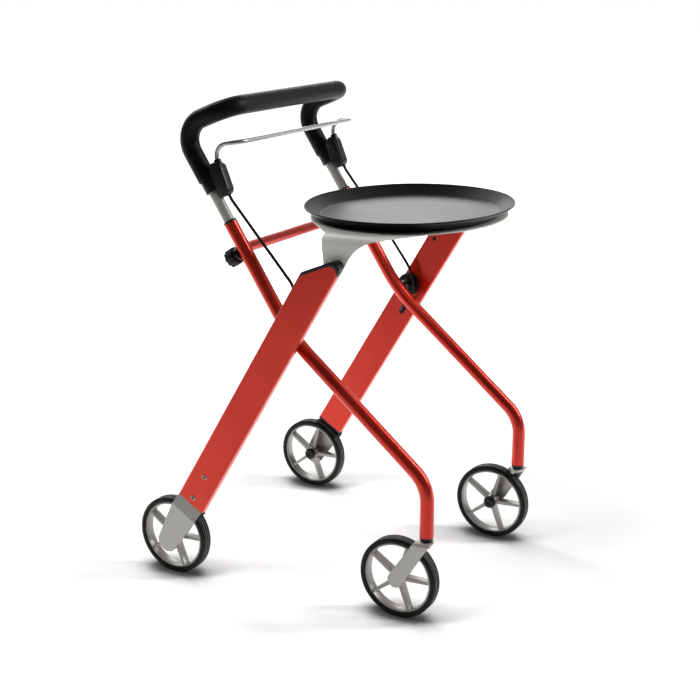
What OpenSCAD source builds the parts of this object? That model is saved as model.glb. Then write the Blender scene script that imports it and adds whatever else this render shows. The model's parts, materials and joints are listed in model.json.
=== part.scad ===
// Indoor walker: two bent tubes crossed by two flat legs, a lift-off tray and a squeeze brake.
// +X is the way it travels, +Y is its left side, z = 0 is the floor, sizes in mm.

/* [Stance] */
// diameter of all four wheels
wheel_d = 150; // [120:1:200]
// distance between the middle planes of the rear wheels
rear_track = 502; // [430:1:580]
// rear axle to front axle with the casters trailing
wheel_base = 456; // [400:1:520]
// how far a front wheel trails behind its stem
caster_trail = 52; // [44:1:62]

/* [Round tubes] */
// outside diameter of the bent tubes
tube_od = 25; // [22:0.5:30]
// wall of every round tube
tube_wall = 2; // [1.5:0.1:3]
// outside diameter of the handle tube that slides inside
inner_od = 20; // [16:0.5:20.5]
// outside diameter of the cross tube
cross_od = 20; // [14:0.5:24]
// slope of the upper tube
upper_slope = 57; // [52:0.5:62]
// bend corner ahead of the rear axle
bend_x = 234.4; // [215:0.1:255]
// bend corner above the floor
bend_z = 486; // [450:1:520]
// bend corner to the top of the bent tube
upper_len = 228; // [200:1:260]
// radius of the bend at the pivot
pivot_bend_r = 300; // [200:5:400]
// radius of the bend above the stem
foot_bend_r = 70; // [50:1:90]
// bottom of the stem tube above the wheel's top
stem_rise = 13.4; // [10:0.1:30]
// bend corner above the bottom of the stem
foot_rise = 95.45; // [85:0.05:110]
// cross tube below the tube top
cross_down = 50; // [45:1:65]
// black ring on top of the bent tube
bush_h = 4; // [3:0.5:8]

/* [Flat legs] */
// width of a leg
leg_w = 60; // [50:1:70]
// thickness of a leg
leg_t = 18; // [15:0.5:24]
// wall of a leg
leg_wall = 2.2; // [1.8:0.1:3]
// rounding along the leg edges
leg_edge_r = 4; // [3:0.5:6]
// pivot behind the leg axis
pivot_back = 9.73; // [4:0.01:14]
// inner face of a leg from the rear wheel's middle plane
leg_inset = 6; // [4:0.5:9]
// wheel centre to the rear corner of the leg top
leg_top_rear = 614; // [580:1:640]
// tilt of the leg top
leg_top_tilt = 53.3; // [45:0.1:58]
// rounding of the front corner of the leg top
leg_top_r = 12; // [8:1:18]
// thickness of the end cap
cap_t = 3; // [2:0.5:5]
// lower rivet above the leg end
rivet_low = 14.3; // [10:0.1:18]
// distance between the two rivets
rivet_gap = 54.5; // [40:0.5:60]
// length of a rivet shank
rivet_len = 7; // [5:0.5:8]
// diameter of a rivet head
rivet_d = 10; // [8:0.5:12]
// diameter of a rivet shank
rivet_shank_d = 6; // [4:0.5:7]
// height of a rivet head
rivet_h = 1.4; // [1:0.1:2]
// socket across the flats in a rivet head
socket_d = 4; // [3:0.5:5]
// cable slot below the pivot along the leg
slot_below = 56.3; // [45:0.1:70]
// cable slot forward of the leg axis
slot_off = 6; // [2:1:10]
// length of the cable slot
slot_len = 16; // [14:0.5:20]
// width of the cable slot
slot_w = 8; // [7:0.5:10]
// plug below the rear corner of the leg top
plug_down = 24; // [16:1:40]
// plug behind the leg axis
plug_off = 14; // [8:1:18]
// diameter of the plug
plug_d = 8; // [6:0.5:10]

/* [Pivot] */
// space between the tube and the leg
pivot_space = 32.5; // [28:0.5:40]
// diameter of the pivot bolt
pivot_bolt_d = 10; // [8:0.5:12]
// diameter of the spacer on the bolt
spacer_d = 24; // [20:0.5:28]
// diameter of the pivot disc
disc_d = 46; // [40:1:52]
// thickness of the pivot disc
disc_t = 6; // [4:0.5:8]
// diameter of the bolt head and nut
bolt_head_d = 16; // [14:0.5:18]
// height of the bolt head and nut
bolt_head_h = 4; // [3:0.5:6]

/* [Wheels] */
// width of a tyre
tyre_w = 24; // [20:0.5:30]
// depth of a tyre
tyre_t = 9.5; // [8:0.5:12]
// rounding of the tyre shoulders
tyre_round = 6; // [4:0.5:7]
// width of a tread groove
groove_w = 1.4; // [1:0.1:2]
// depth of a tread groove
groove_t = 0.9; // [0.5:0.1:1.5]
// distance between the tread grooves
groove_gap = 4.5; // [3.5:0.1:5.5]
// width of the rim ring
rim_w = 19; // [16:0.5:22]
// thickness of the rim ring
rim_t = 3.5; // [3:0.1:5]
// diameter of the hub
hub_d = 27; // [26:0.5:32]
// gap between the hub and the fork plate
hub_gap = 0.7; // [0.5:0.1:0.9]
// thickness of a spoke at the rim
spoke_t = 5; // [4:0.5:7]
// thickness of a spoke at the hub
spoke_root_t = 8; // [6:0.5:10]
// depth of a spoke along the axle
spoke_depth = 15; // [12:0.5:18]
// number of spokes
spokes = 5; // [4:1:8]
// turn of the spokes
spoke_phase = 2; // [-36:1:36]
// outside diameter of a bearing
bearing_od = 22; // [19:0.5:24]
// width of a bearing
bearing_w = 7; // [5:0.5:8]
// diameter of an axle
axle_d = 10; // [8:0.5:12]
// diameter of the axle nut
axle_nut_d = 15; // [14:0.5:17]
// height of the axle nut
axle_nut_h = 3; // [2:0.5:4]
// diameter of a hub cap
hub_cap_d = 24; // [22:0.5:26]
// height of a hub cap
hub_cap_h = 6.5; // [6:0.5:9]
// wall of a hub cap
hub_cap_wall = 2.5; // [2:0.1:3]
// diameter of the recess in a hub cap
cap_recess_d = 13; // [8:0.5:16]
// depth of the recess in a hub cap
cap_recess_t = 1.2; // [0.8:0.1:1.5]

/* [Forks] */
// thickness of the fork plates
fork_t = 6; // [5:0.5:8]
// rounding of the rear fork end
fork_end_r = 21; // [16:0.5:24]
// middle of that rounding below the axle
fork_drop = 12.5; // [8:0.5:16]
// rounding of the caster arm at the axle
caster_end_r = 14.4; // [12:0.1:17]
// width of the caster arm at the crown
caster_arm_w = 26; // [22:0.5:28]
// caster arm's middle behind the stem at the crown
caster_arm_back = 7; // [3:0.5:9]
// gap between a tyre and its fork plate
fork_gap = 1; // [0.8:0.1:2]
// thickness of the rear fork head
head_t = 4; // [3:0.5:6]
// room between the brake shoe and the fork head
head_room = 1.4; // [1:0.1:3]
// fork plate edge inside the leg edge
plate_margin = 1; // [0.5:0.1:3]
// length of the bevel under the leg end
bevel_len = 23; // [16:1:28]
// length of the tongue inside the leg
tongue_len = 80; // [74:1:90]
// thickness of the caster crown
crown_t = 9.5; // [8:0.5:12]
// diameter of the caster crown
crown_d = 28; // [26:0.5:32]
// rounding of the caster shoulder
shoulder_r = 6; // [4:0.5:8]
// diameter of the caster post
post_d = 12; // [10:0.5:14]
// end of the stem sleeve below the bend
sleeve_margin = 7.5; // [4:0.5:20]
// height of the sleeve below the stem
sleeve_h = 8.5; // [7:0.5:12]
// diameter of the sleeve at the crown
sleeve_d = 21; // [18:0.5:23]

/* [Brakes] */
// gap between a brake shoe and its tyre
shoe_gap = 2; // [1.5:0.1:3]
// thickness of a brake shoe
shoe_t = 5.6; // [4:0.1:6]
// half the angle a shoe covers
shoe_half = 21; // [16:1:24]
// width of a brake shoe
shoe_w = 18; // [14:1:22]
// diameter of the shoe guide pin
shoe_pin_d = 6; // [5:0.5:8]
// length of the guide pin in the fork
shoe_pin_len = 30; // [24:1:40]
// diameter of a brake cable
cable_d = 5; // [4:0.5:6]
// diameter of the brake bar
bar_d = 8; // [6:0.5:10]
// brake bar corner above the middle of the pod
bar_rise = 62; // [56:1:72]
// forward reach of the brake bar
bar_reach = 58; // [52:1:66]
// slope of the brake bar's reach
bar_slope = 8; // [0:1:15]
// bend radius of the brake bar
bar_bend_r = 20; // [14:1:21]
// brake rod ahead of the pod axis
rod_off = 6; // [4:0.5:7]
// brake rod below the middle of the pod
rod_depth = 9; // [6:0.5:11]
// length of a brake pod
pod_len = 63; // [58:1:70]
// width of a brake pod
pod_w = 26.5; // [24:0.5:30]
// thickness of a brake pod
pod_t = 16; // [14:0.5:22]
// thickness of the pod cover
cover_t = 4; // [3:0.5:6]
// margin of the pod cover inside the pod
cover_margin = 1.5; // [1:0.1:3]
// slope of a brake pod
pod_slope = 68; // [62:1:72]
// how far the middle of the pod overlaps the collar
pod_bite = 1.75; // [1:0.05:4]
// pod middle above the collar's lower end
pod_up = 11; // [8:0.1:16]
// diameter of a pod screw
screw_d = 5; // [4:0.5:6]
// height of a pod screw head
screw_h = 1; // [0.6:0.1:2]
// distance between the pod screws
screw_gap = 16; // [12:1:20]
// diameter of the ferrule on the rod
ferrule_d = 13; // [12:0.5:15]
// height of the ferrule above the pod
ferrule_h = 5; // [4:0.5:7]

/* [Cable run] */
// left cable's upper corner behind the pivot
left_bow_x = -32; // [-40:1:40]
// left cable's upper corner above the pivot
left_bow_z = 100; // [80:1:120]
// right cable's upper corner ahead of the pivot
right_bow_x = 20; // [-40:1:40]
// right cable's upper corner above the pivot
right_bow_z = 92; // [80:1:120]
// cable's forward corner ahead of the pivot
cable_fore = 17; // [16:1:30]
// cable's forward corner above the pivot
cable_rise = 30; // [24:1:40]
// cable's lower corner below the pivot
cable_drop = 18; // [14:1:24]
// cable from the leg's inner face beside the pivot
cable_aside = 19; // [15:1:24]
// cable's last corner from the leg's inner face
cable_last = 14; // [12:0.5:20]
// bend radius of the cable
cable_bend_r = 40; // [20:1:44]
// bend radius of the cable beside the pivot
cable_sweep_r = 80; // [40:1:90]
// bend radius of the cable into the leg
cable_slot_r = 9; // [6:1:12]

/* [Handle] */
// bare handle tube between the bent tube and the collar
bare_len = 63; // [55:1:75]
// length of the collar
collar_len = 23; // [18:1:30]
// diameter of the collar
collar_d = 29; // [27:0.5:32]
// tube top to the rear corner of the grip
grip_rise = 193; // [180:1:210]
// forward reach of the grip
grip_reach = 113.5; // [104:0.5:124]
// slope of the grip's forward reach
grip_slope = 21.7; // [14:0.1:28]
// bend radius at the rear corner of the grip
grip_rear_r = 42; // [34:1:44]
// bend radius at the bar of the grip
grip_bar_r = 38; // [32:1:44]
// outside diameter of the foam grip
foam_od = 34; // [30:0.5:38]
// handle tube inside the bent tube
inner_depth = 120; // [100:1:135]
// clamp knob below the tube top
knob_down = 54; // [50:1:62]
// diameter of a clamp knob
knob_d = 33; // [28:1:38]
// thickness of a clamp knob
knob_t = 17; // [14:1:22]
// diameter of the knob's neck
neck_d = 22; // [18:1:26]
// length of the knob's neck
neck_len = 8; // [6:0.5:12]
// flutes around a clamp knob
knob_flutes = 10; // [6:1:14]
// diameter of a flute
flute_d = 6; // [4:0.5:8]
// diameter of the knob's stud
stud_d = 8; // [6:0.5:10]

/* [Tray] */
// tray from front to back
tray_len = 368; // [340:1:390]
// tray from side to side
tray_w = 421; // [400:1:450]
// tray middle ahead of the leg's top rear corner
tray_ahead = 73.4; // [60:0.1:90]
// tray rim above the leg's top rear corner
tray_over = 90.25; // [80:0.05:100]
// depth of the tray
tray_depth = 18; // [14:1:24]
// sideways flare of the tray wall
tray_flare = 26; // [20:1:34]
// thickness of the tray
tray_t = 2.5; // [2:0.1:4]
// radius of the bead on the rim
bead_r = 1.6; // [1.2:0.1:2.4]
// thickness of the carrier sheet
sheet_t = 2.5; // [2:0.1:3.5]
// carrier edge inside the tray rim
carrier_inset = 12; // [4:1:18]
// bend radius of the carrier sides
carrier_bend_r = 18; // [12:1:34]
// fillet radius in front of the carrier arm
arm_fillet_r = 75; // [60:1:90]
// flat end of the carrier arm behind its fillet
arm_trim = 5; // [3:0.5:8]
// how far the fillet cuts into the arm's front edge
arm_bite = 0.5; // [0.3:0.1:1]
// carrier arm's front edge ahead of the leg axis
arm_front = 28; // [26:0.5:30]
// length of the carrier's tongue on the leg
arm_tongue = 46; // [40:1:56]
// width of the carrier's tongue
arm_tongue_w = 26; // [22:1:32]
// rear edge of the carrier arm behind the tray middle
arm_rear = 41; // [30:1:50]
// carrier's front web corner ahead of the tray middle
web_front_x = 138; // [120:1:145]
// carrier's front web corner from the middle line
web_front_y = 110; // [90:1:120]
// carrier's rear web corner behind the tray middle
web_rear_x = 112; // [90:1:120]
// carrier's rear web corner from the middle line
web_rear_y = 152; // [120:1:160]
// diameter of a carrier bolt
carrier_bolt_d = 6; // [5:0.5:8]
// diameter of a carrier bolt head
carrier_head_d = 11; // [9:0.5:12]
// height of a carrier bolt head
carrier_head_h = 2.5; // [2:0.1:4]

/* [Fits] */
// radial clearance of a running fit
run_gap = 0.05; // [0.02:0.01:0.1]
// gap between faces that pass each other
face_gap = 0.4; // [0.3:0.05:1]

/* [Hidden] */
$fn = 72;
over = 1;
// a straight runs this far over the bend it meets, and a bend draws in by this share
lap = 0.3;
draw_share = 0.016;
half_turn = 180;
quarter_turn = 90;
middle_share = 0.5;
side_share = 0.9;
flank_share = 0.35;
wheel_r = wheel_d / 2;
tube_r = tube_od / 2;
rear_y = rear_track / 2;
leg_in = rear_y - leg_inset;
leg_out = leg_in + leg_t;
tube_y = leg_in - pivot_space - tube_r;
stem_x = wheel_base + caster_trail;
stem_bottom = wheel_d + stem_rise;
foot_z = stem_bottom + foot_rise;
lower_slope = atan2(bend_z - foot_z, stem_x - bend_x);
post_len = foot_rise - foot_bend_r * tan((quarter_turn - lower_slope) / 2) - sleeve_margin;
// tube line: up is along the upper tube, ahead is square to it
up = [-cos(upper_slope), 0, sin(upper_slope)];
ahead = [sin(upper_slope), 0, cos(upper_slope)];
tube_bend = [bend_x, tube_y, bend_z];
tube_top = tube_bend + up * upper_len;
foot = [stem_x, tube_y, foot_z];
stem_end = [stem_x, tube_y, stem_bottom];
tube_path = [tube_top, tube_bend, foot, stem_end];
mid_slope = (upper_slope + lower_slope) / 2;
bend_rise = pivot_bend_r * (1 / cos((upper_slope - lower_slope) / 2) - 1);
pivot = [bend_x + bend_rise * sin(mid_slope), 0, bend_z + bend_rise * cos(mid_slope)];
// legs run from the rear wheel past the pivot
pivot_far = norm([pivot[0], pivot[2] - wheel_r]);
leg_slope = atan2(pivot[2] - wheel_r, pivot[0]) - asin(pivot_back / pivot_far);
leg_start = wheel_r + shoe_gap + shoe_t + head_t + head_room;
slot_along = sqrt(pow(pivot_far, 2) - pow(pivot_back, 2)) - slot_below;
plug_along = leg_top_rear - plug_down;
// the leg top in leg coordinates: n ahead of the axis, s along it
leg_top_n = leg_w / 2 - leg_top_r;
leg_top_s = leg_top_rear + ((leg_top_n + leg_w / 2) * sin(leg_top_tilt) - leg_top_r) / cos(leg_top_tilt);
cap_rise = cap_t / cos(leg_top_tilt);
leg_end = leg_top_s + leg_w;
leg_tip = on_leg_xz(-leg_w / 2, leg_top_rear);
tray_x = leg_tip[0] + tray_ahead;
tray_rim_z = leg_tip[1] + tray_over;
tray_front = tray_x + tray_len / 2;
frame_mid_x = (max(tray_front, stem_x + crown_d / 2) - wheel_r) / 2;
// handle
grip_dir = [cos(grip_slope), 0, sin(grip_slope)];
grip_rear = tube_top + up * grip_rise;
grip_front = grip_rear + grip_dir * grip_reach;
inner_end = tube_top - up * inner_depth;
collar_low = tube_top + up * bare_len;
foam_low = collar_low + up * collar_len;
knob_at = tube_top - up * knob_down;
cross_at = tube_top - up * cross_down;
// brake pod frame
pod_up_dir = [-cos(pod_slope), 0, sin(pod_slope)];
pod_ahead = [sin(pod_slope), 0, cos(pod_slope)];
pod_off = collar_d / 2 + pod_w / 2 - pod_bite;
pod_mid = collar_low + up * pod_up + ahead * pod_off;
rod_low = pod_mid + pod_ahead * rod_off - pod_up_dir * rod_depth;
bar_rear = pod_mid + pod_ahead * rod_off + pod_up_dir * bar_rise;
bar_front = bar_rear + [cos(bar_slope), 0, sin(bar_slope)] * bar_reach;
pod_end = pod_len / 2 - pod_w / 2;
rod_exit = pod_end + sqrt(pow(pod_w / 2, 2) - pow(rod_off, 2));
// forks
plate_in = rear_y + tyre_w / 2 + fork_gap;
plate_out = plate_in + fork_t;
caster_in = tube_y + tyre_w / 2 + fork_gap;
caster_out = caster_in + fork_t;
crown_top = stem_bottom - sleeve_h - face_gap;
crown_low = crown_top - crown_t;
hub_half = tyre_w / 2 + fork_gap - hub_gap;
hub_len = 2 * hub_half;
// tray oval: four arcs that meet on lines rising three in four, on a grid so that they meet exactly
grid = 0.05;
rise_share = 0.6;
run_share = 0.8;
tray_a = grid * round(tray_len / 2 / grid);
arc_step = grid * round((tray_w / 2 - tray_a) / (rise_share + run_share - 1) / grid);
end_c = arc_step * rise_share;
side_c = arc_step * run_share;
side_r = tray_a + side_c;
end_r = side_r - arc_step;
tray_far = grid * round(2 * tray_w / grid);
tray_floor_z = tray_rim_z - tray_depth;
tray_base_z = tray_floor_z - tray_t;
carrier_z = tray_base_z - face_gap / 2;
// carrier arm
fillet_z = carrier_z - sheet_t - arm_fillet_r;
fillet_n = arm_front + arm_fillet_r - arm_bite;
fillet_s = (fillet_z - wheel_r + fillet_n * cos(leg_slope)) / sin(leg_slope);
arm_x = fillet_s * cos(leg_slope) + fillet_n * sin(leg_slope);
// colours
red_paint = [0.76, 0.2, 0.14];
silver = [0.72, 0.71, 0.68];
cast_gray = [0.6, 0.59, 0.56];
black = [0.05, 0.05, 0.06];
tyre_black = [0.09, 0.09, 0.1];
steel = [0.66, 0.66, 0.66];

// vectors
function unit(v) = v / norm(v);
function other_side(p) = [p[0], -p[1], p[2]];
function bend_at(p, i) = acos(unit(p[i] - p[i - 1]) * unit(p[i + 1] - p[i]));
function reach(p, r, i) = (i == 0 || i == len(p) - 1) ? 0 : r[i - 1] * tan(bend_at(p, i) / 2);
function across(way) = abs(way[1]) < side_share ? [0, 1, 0] : [1, 0, 0];
function on_leg_xz(n, s) = [s * cos(leg_slope) + n * sin(leg_slope),
  wheel_r + s * sin(leg_slope) - n * cos(leg_slope)];
function pod_point(x, z) = pod_mid + pod_ahead * x + pod_up_dir * z;

// frame with z along way and x leaning to side
module aim(at, way, side) {
  z = unit(way);
  y = unit(cross(z, side));
  x = cross(y, z);
  multmatrix([[x[0], y[0], z[0], at[0]], [x[1], y[1], z[1], at[1]], [x[2], y[2], z[2], at[2]],
    [0, 0, 0, 1]]) children();
}

// round bar or tube through points, with a bend of radius r at each corner
module route(p, r, ro, ri = 0) {
  for (i = [0 : len(p) - 2]) {
    way = unit(p[i + 1] - p[i]);
    start = p[i] + way * (i == 0 ? 0 : reach(p, r, i) - lap);
    stop = p[i + 1] - way * (i == len(p) - 2 ? 0 : reach(p, r, i + 1) - lap);
    aim(start, way, across(way)) linear_extrude(norm(stop - start)) ring(ro, ri);
  }
  for (i = [1 : len(p) - 2]) {
    before = unit(p[i] - p[i - 1]);
    after = unit(p[i + 1] - p[i]);
    aim(p[i] - before * reach(p, r, i), before, after)
      bend(r[i - 1], bend_at(p, i), ro * (1 - draw_share), ri * (1 + draw_share));
  }
}

module bend(r, turn, ro, ri) {
  translate([r, 0, 0]) rotate([quarter_turn, 0, 0]) rotate([0, 0, half_turn - turn])
    rotate_extrude(angle = turn) translate([r, 0]) ring(ro, ri);
}

module ring(ro, ri) {
  difference() {
    circle(ro);
    if (ri > 0) circle(ri);
  }
}

// flat shape drawn in x and z, from y0 to y1
module along_y(y0, y1) {
  translate([0, y1, 0]) rotate([quarter_turn, 0, 0]) linear_extrude(y1 - y0) children();
}

// cylinder along y at x, z
module pin_y(x, z, r, y0, y1) {
  along_y(y0, y1) translate([x, z]) circle(r);
}

module round_box(w, h, r) {
  square([w - 2 * r, h], center = true);
  square([w, h - 2 * r], center = true);
  for (x = [-1, 1], y = [-1, 1]) translate([x * (w / 2 - r), y * (h / 2 - r)]) circle(r);
}

// oblong with its long side along y
module oblong(l, w) {
  square([w, l - w], center = true);
  for (y = [-1, 1]) translate([0, y * (l - w) / 2]) circle(w / 2);
}

module mirrored() {
  mirror([0, 1, 0]) children();
}

module both_sides() {
  children();
  mirrored() children();
}

// every node stands in the shared frame: origin under the middle of the whole walker
module placed() {
  translate([-frame_mid_x, 0, 0]) children();
}

// leg frame: x is ahead of the leg axis, z runs up the leg from the wheel centre
module on_leg() {
  translate([0, 0, wheel_r]) rotate([0, quarter_turn - leg_slope, 0]) children();
}

// pod frame: x is ahead of the pod axis, z runs up the pod
module on_pod() {
  aim(pod_mid, pod_up_dir, pod_ahead) children();
}

// wheel frame on the left side: z points to the middle of the walker
module on_rear_wheel() {
  translate([0, rear_y, wheel_r]) rotate([quarter_turn, 0, 0]) children();
}

module on_front_wheel() {
  translate([wheel_base, tube_y, wheel_r]) rotate([quarter_turn, 0, 0]) children();
}

// the tube's bend at the pivot
module pivot_arc() {
  way = unit(tube_bend - tube_top);
  aim(tube_bend - way * reach(tube_path, [pivot_bend_r, foot_bend_r], 1), way, foot - tube_bend)
    bend(pivot_bend_r, upper_slope - lower_slope, tube_r * (1 - draw_share), 0);
}

// round tubes
module tube_solid() {
  difference() {
    route(tube_path, [pivot_bend_r, foot_bend_r], tube_r, tube_r - tube_wall);
    pin_y(pivot[0], pivot[2], pivot_bolt_d / 2, tube_y, tube_y + tube_od);
    aim(knob_at, -ahead, up) cylinder(r = stud_d / 2 + run_gap, h = tube_od);
  }
}

module tube_left() {
  color(red_paint) placed() tube_solid();
}

module tube_right() {
  color(red_paint) placed() mirrored() tube_solid();
}

module cross_tube() {
  color(red_paint) placed() difference() {
    along_y(-tube_y, tube_y) translate([cross_at[0], cross_at[2]])
      ring(cross_od / 2, cross_od / 2 - tube_wall);
    both_sides() aim(cross_at - up * tube_od, up, ahead) cylinder(r = tube_r, h = 2 * tube_od);
  }
}

module tube_bushes() {
  color(black) placed() both_sides() aim(tube_top, up, ahead)
    linear_extrude(bush_h) ring(tube_r, inner_od / 2 + run_gap);
}

module stem_sleeve() {
  difference() {
    union() {
      translate([stem_x, tube_y, stem_bottom]) cylinder(r = tube_r - tube_wall, h = post_len);
      translate([stem_x, tube_y, stem_bottom - sleeve_h])
        cylinder(r1 = sleeve_d / 2, r2 = tube_r, h = sleeve_h);
    }
    translate([stem_x, tube_y, stem_bottom - sleeve_h - over])
      cylinder(r = post_d / 2 + run_gap, h = sleeve_h + post_len + 2 * over);
  }
}

module stem_sleeves() {
  color(black) placed() both_sides() stem_sleeve();
}

module pivot_bolt() {
  nut_y = leg_in + leg_wall + face_gap;
  pin_y(pivot[0], pivot[2], pivot_bolt_d / 2, tube_y - bolt_head_h, nut_y + bolt_head_h);
  pin_y(pivot[0], pivot[2], bolt_head_d / 2, nut_y, nut_y + bolt_head_h);
  pin_y(pivot[0], pivot[2], bolt_head_d / 2, tube_y - bolt_head_h, tube_y + bolt_head_h);
}

module pivot_bolts() {
  color(steel) placed() both_sides() pivot_bolt();
}

module pivot_spacer() {
  difference() {
    union() {
      pin_y(pivot[0], pivot[2], spacer_d / 2, tube_y + tube_r / 2, leg_in - face_gap);
      pin_y(pivot[0], pivot[2], disc_d / 2, leg_in - face_gap - disc_t, leg_in - face_gap);
    }
    pivot_arc();
    pin_y(pivot[0], pivot[2], pivot_bolt_d / 2, tube_y, leg_in);
  }
}

module pivot_spacers() {
  color(black) placed() both_sides() pivot_spacer();
}

// flat legs
module leg_outline(drop) {
  translate([0, -drop]) {
    polygon([[-leg_w / 2, 0], [leg_w / 2, 0], [leg_w / 2, leg_top_s], [leg_top_n, leg_top_s],
      [leg_top_n - leg_top_r * sin(leg_top_tilt), leg_top_s + leg_top_r * cos(leg_top_tilt)],
      [-leg_w / 2, leg_top_rear]]);
    translate([leg_top_n, leg_top_s]) circle(leg_top_r);
  }
}

module leg_bar(inset, low, high) {
  translate([0, leg_in + leg_t / 2, low]) linear_extrude(high - low)
    round_box(leg_w - 2 * inset, leg_t - 2 * inset, leg_edge_r - inset);
}

module slot_shape(grow) {
  translate([slot_off, slot_along]) oblong(slot_len + 2 * grow, slot_w + 2 * grow);
}

module leg_solid() {
  difference() {
    on_leg() intersection() {
      leg_bar(0, leg_start, leg_end);
      along_y(leg_in - over, leg_out + over) leg_outline(cap_rise);
    }
    on_leg() leg_bar(leg_wall, leg_start - over, leg_end);
    pin_y(pivot[0], pivot[2], pivot_bolt_d / 2 + run_gap, leg_in - over, leg_in + leg_t / 2);
    on_leg() along_y(leg_in - over, leg_in + leg_t / 2) slot_shape(0);
    on_leg() pin_y(-plug_off, plug_along, plug_d / 2, leg_in - over, leg_in + leg_t / 2);
    on_leg() rivet_holes(rivet_shank_d / 2);
    on_leg() carrier_holes(carrier_bolt_d / 2, leg_in - over, leg_in + leg_t / 2);
  }
}

module leg_left() {
  color(red_paint) placed() leg_solid();
}

module leg_right() {
  color(red_paint) placed() mirrored() leg_solid();
}

module leg_cap() {
  on_leg() difference() {
    intersection() {
      leg_bar(0, leg_start, leg_end);
      along_y(leg_in - over, leg_out + over) leg_outline(0);
    }
    along_y(leg_in - over, leg_out + over) leg_outline(cap_rise);
  }
}

module leg_caps() {
  color(black) placed() both_sides() leg_cap();
}

module rivet_holes(r) {
  for (s = [0, 1])
    pin_y(0, leg_start + rivet_low + s * rivet_gap, r, leg_out - rivet_len, leg_out + over);
}

module rivet(s) {
  difference() {
    union() {
      pin_y(0, s, rivet_shank_d / 2, leg_out - rivet_len, leg_out);
      pin_y(0, s, rivet_d / 2, leg_out, leg_out + rivet_h);
    }
    along_y(leg_out, leg_out + rivet_h + over) translate([0, s]) circle(socket_d / 2, $fn = 6);
  }
}

module leg_rivets() {
  color(steel) placed() both_sides() on_leg() {
    rivet(leg_start + rivet_low);
    rivet(leg_start + rivet_low + rivet_gap);
  }
}

module leg_grommet() {
  on_leg() difference() {
    union() {
      along_y(leg_in, leg_in + leg_wall) slot_shape(0);
      along_y(leg_in - rivet_h, leg_in) slot_shape(rivet_h);
    }
    pin_y(slot_off, slot_along, cable_d / 2 + face_gap, leg_in - leg_t, leg_out);
  }
  on_leg() pin_y(-plug_off, plug_along, plug_d / 2, leg_in - rivet_h, leg_in + leg_wall);
}

module leg_grommets() {
  color(black) placed() both_sides() leg_grommet();
}

// rear forks
module fork_plate_outline() {
  corner = leg_w / 2 - plate_margin;
  low = leg_start - bevel_len;
  turn = atan2(low + fork_drop, corner) - acos(fork_end_r / norm([low + fork_drop, corner]));
  touch = [fork_end_r * cos(turn), fork_end_r * sin(turn) - fork_drop];
  polygon([[-corner, leg_start], [-corner, low], [-touch[0], touch[1]], touch, [corner, low],
    [corner, leg_start]]);
  translate([0, -fork_drop]) circle(fork_end_r);
}

// fork seen along the leg's front edge: y across, z up the leg
module fork_side() {
  polygon([[leg_in, leg_start - head_t], [plate_in, leg_start - head_t], [plate_in, -leg_w],
    [plate_out, -leg_w], [plate_out, leg_start - bevel_len], [leg_out, leg_start], [leg_in, leg_start]]);
}

module rear_fork_solid() {
  difference() {
    union() {
      on_leg() intersection() {
        along_y(leg_in - over, plate_out + over) fork_plate_outline();
        translate([-leg_w, 0, 0]) rotate([quarter_turn, 0, quarter_turn])
          linear_extrude(2 * leg_w) fork_side();
      }
      on_leg() leg_bar(leg_wall, leg_start - over, leg_start + tongue_len);
    }
    on_leg() rivet_holes(rivet_shank_d / 2);
    translate([0, rear_y, wheel_r]) rotate([0, quarter_turn - leg_slope, 0])
      cylinder(r = shoe_pin_d / 2 + run_gap, h = leg_start + shoe_pin_len + face_gap);
    on_rear_wheel() axle_seat();
  }
}

module rear_fork_left() {
  color(cast_gray) placed() rear_fork_solid();
}

module rear_fork_right() {
  color(cast_gray) placed() mirrored() rear_fork_solid();
}

// blind seat of an axle in its fork plate, in the wheel frame
module axle_seat() {
  translate([0, 0, -tyre_w / 2 - fork_gap - fork_t * side_share])
    cylinder(r = axle_d / 2, h = fork_t);
}

module axle_solid() {
  seat = tyre_w / 2 + fork_gap + fork_t * side_share;
  translate([0, 0, -seat]) cylinder(r = axle_d / 2, h = seat + hub_half + face_gap + axle_nut_h);
  translate([0, 0, hub_half + face_gap]) cylinder(r = axle_nut_d / 2, h = axle_nut_h);
}

module rear_axle_left() {
  color(steel) placed() on_rear_wheel() axle_solid();
}

module rear_axle_right() {
  color(steel) placed() mirrored() on_rear_wheel() axle_solid();
}

// brake shoes
module shoe_outline() {
  inner = wheel_r + shoe_gap;
  far = wheel_r + leg_start;
  intersection() {
    ring(inner + shoe_t, inner);
    polygon([[0, 0], [far * sin(shoe_half), far * cos(shoe_half)],
      [-far * sin(shoe_half), far * cos(shoe_half)]]);
  }
}

module shoe_solid() {
  along = wheel_r + shoe_gap + shoe_t / 2;
  on_leg() along_y(rear_y - shoe_w / 2, rear_y + shoe_w / 2) shoe_outline();
  translate([0, rear_y, wheel_r]) rotate([0, quarter_turn - leg_slope, 0]) translate([0, 0, along])
    cylinder(r = shoe_pin_d / 2, h = leg_start + shoe_pin_len - along - face_gap);
}

module shoe_left() {
  color(black) placed() shoe_solid();
}

module shoe_right() {
  color(black) placed() mirrored() shoe_solid();
}

// tray and its carrier
module side_wedge() {
  polygon([[-side_c, 0], [tray_far * run_share - side_c, tray_far * rise_share],
    [tray_far * run_share - side_c, -tray_far * rise_share]]);
}

module end_wedge() {
  polygon([[0, end_c], [tray_far * run_share, tray_far * rise_share + end_c],
    [-tray_far * run_share, tray_far * rise_share + end_c]]);
}

module oval(grow) {
  for (k = [0, 1]) rotate([0, 0, k * half_turn]) {
    intersection() {
      translate([-side_c, 0]) circle(side_r + grow);
      side_wedge();
    }
    intersection() {
      translate([0, end_c]) circle(end_r + grow);
      end_wedge();
    }
  }
}

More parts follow.
